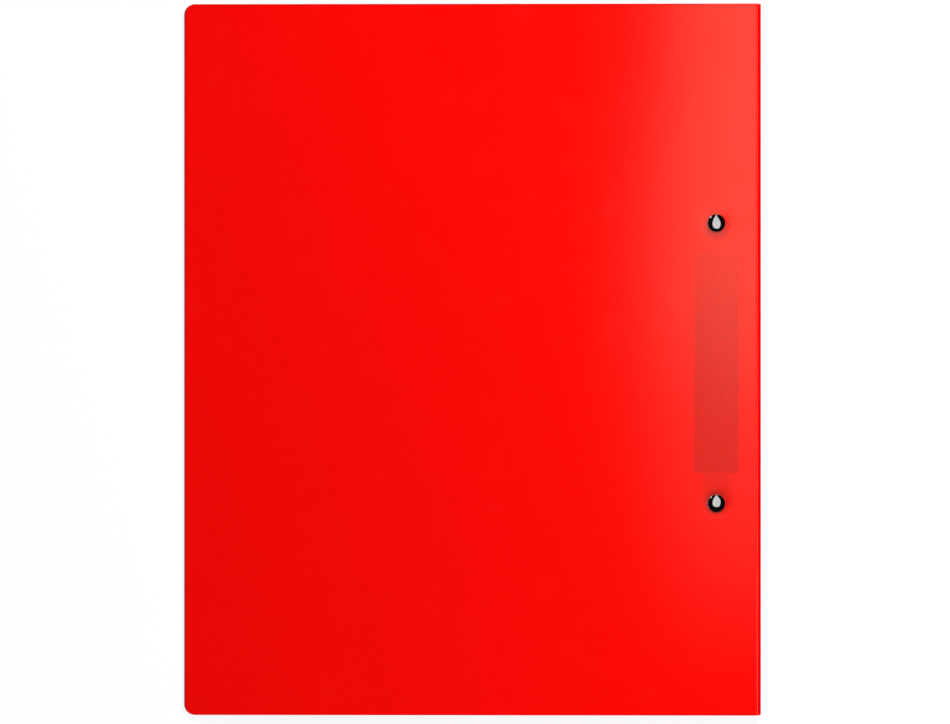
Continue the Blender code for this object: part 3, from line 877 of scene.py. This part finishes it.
def glow_card(name, corners, height):
    """A sheet, its corners in millimetres, that only shows in what shines."""
    card = bmesh.new()
    card.faces.new([card.verts.new((x * mm, y * mm, height)) for x, y in corners])
    mesh = bpy.data.meshes.new(name)
    card.to_mesh(mesh)
    card.free()
    made = bpy.data.objects.new(name, mesh)
    bpy.context.scene.collection.objects.link(made)
    made.visible_camera = False
    made.visible_shadow = False
    made.visible_diffuse = False
    glowing, tree = bare_finish(name)
    mesh.materials.append(glowing)
    return made, tree


softbox, tree = glow_card("softbox", ((-8, -170), (255, -170), (255, 1200), (-8, 1200)), height=0.32)
here = add_node(tree, "ShaderNodeTexCoord").outputs["Object"]
along_card = add_node(tree, "ShaderNodeSeparateXYZ", {0: here}).outputs
upper = spread(tree, along_card["Y"], low=-30 * mm, high=30 * mm, to_high=0.52)
lower = spread(tree, along_card["Y"], low=-160 * mm, high=-20 * mm, to_high=0.48)
cover = math_node(tree, "ADD", upper, lower)
edge_above = spread(tree, along_card["Y"], 60 * mm, 160 * mm, to_low=-5 * mm, to_high=6 * mm)
edge_below = spread(tree, along_card["Y"], -110 * mm, 0.0, to_low=9 * mm, to_high=0.0)
card_edge = math_node(tree, "ADD", edge_above, edge_below)
cover = math_node(tree, "MULTIPLY", cover, spread(tree, along_card["X"], low=card_edge, high=48 * mm))
glow = add_node(tree, "ShaderNodeEmission", {"Strength": 1.15})
clear = add_node(tree, "ShaderNodeBsdfTransparent")
show(tree, add_node(tree, "ShaderNodeMixShader", {0: cover, 1: clear.outputs[0], 2: glow.outputs[0]}))

all_but_heads = bpy.data.collections.new("all_but_heads")
for head in heads.objects:
    all_but_heads.objects.link(head)
for member in all_but_heads.collection_objects:
    member.light_linking.link_state = "EXCLUDE"
softbox.light_linking.receiver_collection = all_but_heads

drop = (
    (50, -218), (180, -190), (230, -60), (238, 60), (212, 150), (170, 260), (104, 420), (60, 520),
    (60, 1500), (10, 1500), (-25, 520), (-65, 380), (-92, 260), (-122, 120), (-134, 20), (-120, -100),
    (-70, -190),
)
drop_card, tree = glow_card("drop_card", drop, height=0.315)
glow = add_node(tree, "ShaderNodeEmission", {"Strength": 1.0})
clear = add_node(tree, "ShaderNodeBsdfTransparent")
show(tree, add_node(tree, "ShaderNodeAddShader", {0: clear.outputs[0], 1: glow.outputs[0]}))
drop_card.light_linking.receiver_collection = heads

# Camera: straight above, far off with a long lens, so the sheet keeps its outline.
# The picture is just wide enough for the binder and its white margins.
view_width = 427.3 * mm
view_plane = 16.0 * mm
view_middle = (1.12 * mm, -1.1 * mm)
camera_data = bpy.data.cameras.new("camera")
camera_data.lens = 1250.0
camera_data.sensor_width = 36.0
camera_data.clip_end = 100.0
camera = bpy.data.objects.new("camera", camera_data)
camera.location = (*view_middle, view_plane + view_width * camera_data.lens / camera_data.sensor_width)
bpy.context.scene.collection.objects.link(camera)
bpy.context.scene.camera = camera
bpy.context.scene.view_settings.view_transform = "Standard"
